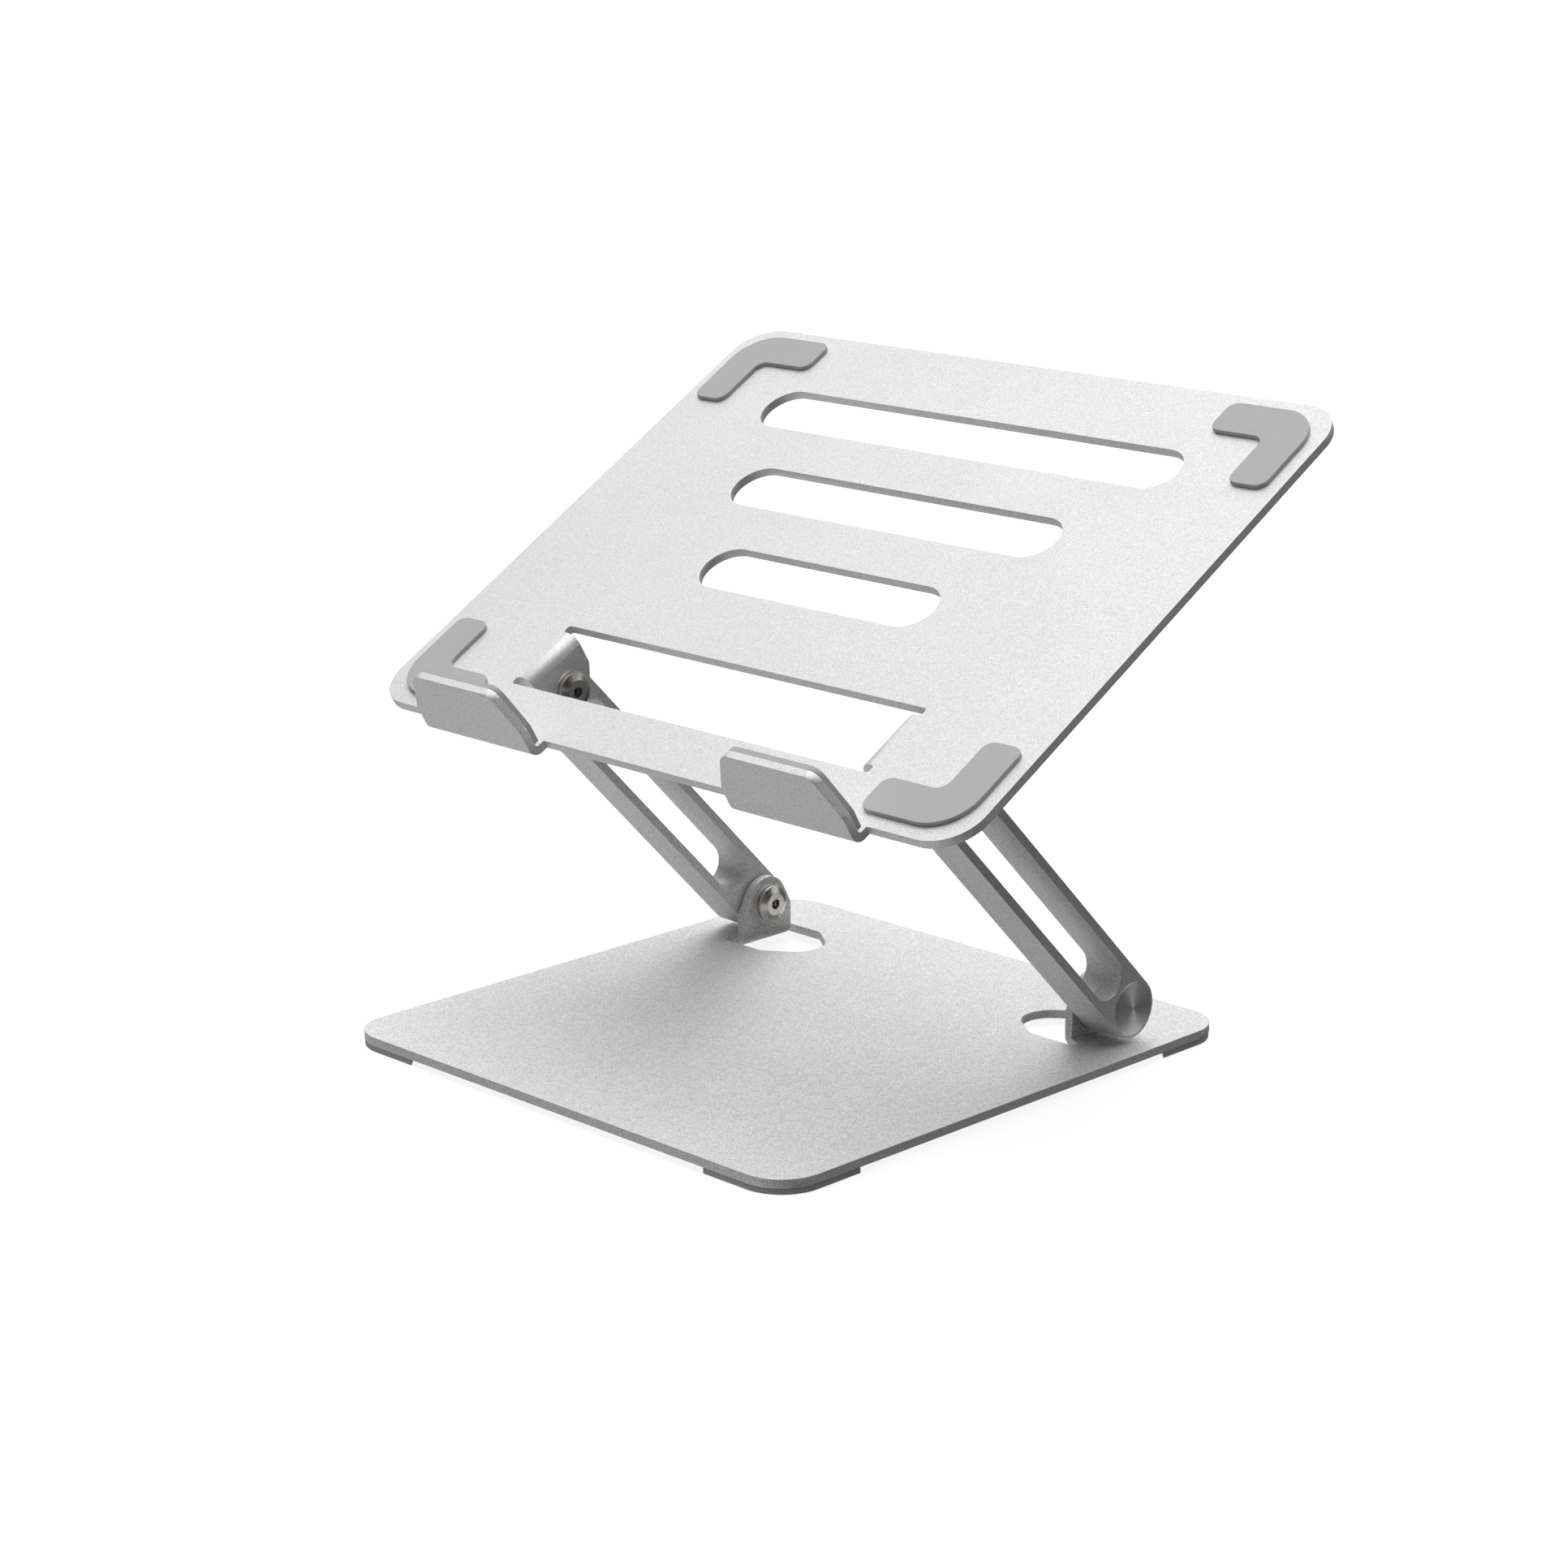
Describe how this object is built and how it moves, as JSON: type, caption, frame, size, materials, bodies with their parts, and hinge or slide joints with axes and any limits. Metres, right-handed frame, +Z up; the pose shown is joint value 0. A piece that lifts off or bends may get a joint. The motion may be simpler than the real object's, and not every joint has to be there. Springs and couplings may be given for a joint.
{
  "type": "laptop stand",
  "caption": "Folding aluminium laptop stand: flat base, slotted arms on friction hinges, and a vented tilting tray with front hooks and grip pads.",
  "frame": {"origin": "middle of the bounding box in X and Y, at the underside of the feet", "axes": "+X to the right of a person facing the stand, +Y away from them, +Z up"},
  "size_m": [0.26, 0.2212, 0.2083],
  "materials": {
    "anodised_sheet": "bead-blasted silver anodised",
    "anodised_bar": "bead-blasted silver anodised",
    "turned_cap": "face-turned aluminium",
    "nickel_steel": "satin nickel plate",
    "plain_steel": "plain",
    "foot_rubber": "matte",
    "pad_silicone": "matte grey silicone",
    "nylon": "matte"
  },
  "bodies": {
    "base": {"base_plate": "anodised_sheet", "foot_front_left": "foot_rubber", "foot_front_right": "foot_rubber", "foot_back_left": "foot_rubber", "foot_back_right": "foot_rubber"},
    "arms": {"arm_left": "anodised_bar", "arm_right": "anodised_bar", "cap_base_left": "turned_cap", "cap_base_right": "turned_cap", "cap_tray_left": "turned_cap", "cap_tray_right": "turned_cap", "nut_base_left": "plain_steel", "nut_base_right": "plain_steel", "nut_tray_left": "plain_steel", "nut_tray_right": "plain_steel", "screw_base_left": "nickel_steel", "screw_base_right": "nickel_steel", "screw_tray_left": "nickel_steel", "screw_tray_right": "nickel_steel", "washer_base_left": "nickel_steel", "washer_base_right": "nickel_steel", "spring_base_left": "plain_steel", "spring_base_right": "plain_steel", "spring_tray_left": "plain_steel", "spring_tray_right": "plain_steel", "friction_base_left": "nylon", "friction_base_right": "nylon"},
    "hinge_discs": {"washer_tray_left": "nickel_steel", "washer_tray_right": "nickel_steel", "friction_tray_left": "nylon", "friction_tray_right": "nylon"},
    "tray": {"tray_plate": "anodised_sheet", "pad_front_left": "pad_silicone", "pad_front_right": "pad_silicone", "pad_back_left": "pad_silicone", "pad_back_right": "pad_silicone", "hook_pad_left": "pad_silicone", "hook_pad_right": "pad_silicone"}
  },
  "joints": [
    {"name": "arm_hinge", "type": "hinge", "parent": "base", "child": "arms", "pos_m": [0, 0.05762, 0.0166], "axis": [-1, 0, 0], "range_deg": [-45.3, 35]},
    {"name": "tray_follow", "type": "hinge", "parent": "arms", "child": "hinge_discs", "pos_m": [0, -0.0341, 0.10929], "axis": [1, 0, 0], "range_deg": [-62, 48]},
    {"name": "tray_tilt", "type": "hinge", "parent": "hinge_discs", "child": "tray", "pos_m": [0, -0.0341, 0.10929], "axis": [1, 0, 0], "range_deg": [-14.9, 15]}
  ],
  "couplings": [
    {"joint": "tray_follow", "follows": "arm_hinge", "ratio": 1.3333}
  ]
}
